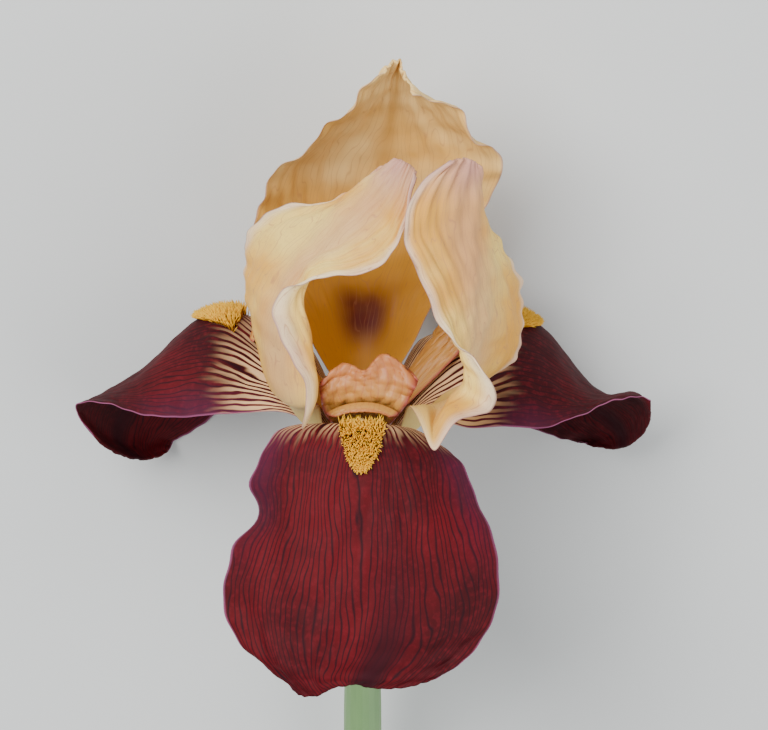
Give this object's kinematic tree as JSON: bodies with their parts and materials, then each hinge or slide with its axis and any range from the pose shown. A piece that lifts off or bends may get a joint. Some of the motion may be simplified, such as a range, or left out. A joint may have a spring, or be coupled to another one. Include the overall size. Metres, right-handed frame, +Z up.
{
  "type": "bearded iris flower",
  "caption": "Bearded iris flower with drooping falls, bearded midribs and an open dome of upright standards on a short cut stem, laid on its back.",
  "frame": {"origin": "centre of the bounding box's footprint, on the surface the flower lies on", "axes": "+Y along the flower from the stem's cut end towards the tips of the standards, +Z up from the surface, the face of the flower and its front fall upwards, +X to the right as seen from above with the tips at the top"},
  "size_m": [0.1151, 0.2094, 0.0792],
  "materials": {
    "fall": "matte",
    "beard": "matte",
    "standard": "matte",
    "style": "matte",
    "lip": "matte",
    "filament": "matte",
    "anther": "matte",
    "tube": "matte",
    "ovary": "matte",
    "spathe": "matte",
    "stem": "matte"
  },
  "bodies": {
    "root": {"anther_front": "anther", "anther_left": "anther", "anther_right": "anther", "beard_front": "beard", "beard_left": "beard", "beard_right": "beard", "fall_front": "fall", "fall_left": "fall", "fall_right": "fall", "filament_front": "filament", "filament_left": "filament", "filament_right": "filament", "ovary": "ovary", "perianth_tube": "tube", "spathe_inner": "spathe", "spathe_outer": "spathe", "standard_back": "standard", "standard_left": "standard", "standard_right": "standard", "stem": "stem", "stigma_lip_front": "lip", "stigma_lip_left": "lip", "stigma_lip_right": "lip", "style_arm_front": "style", "style_arm_left": "style", "style_arm_right": "style", "style_column": "style"}
  },
  "joints": []
}
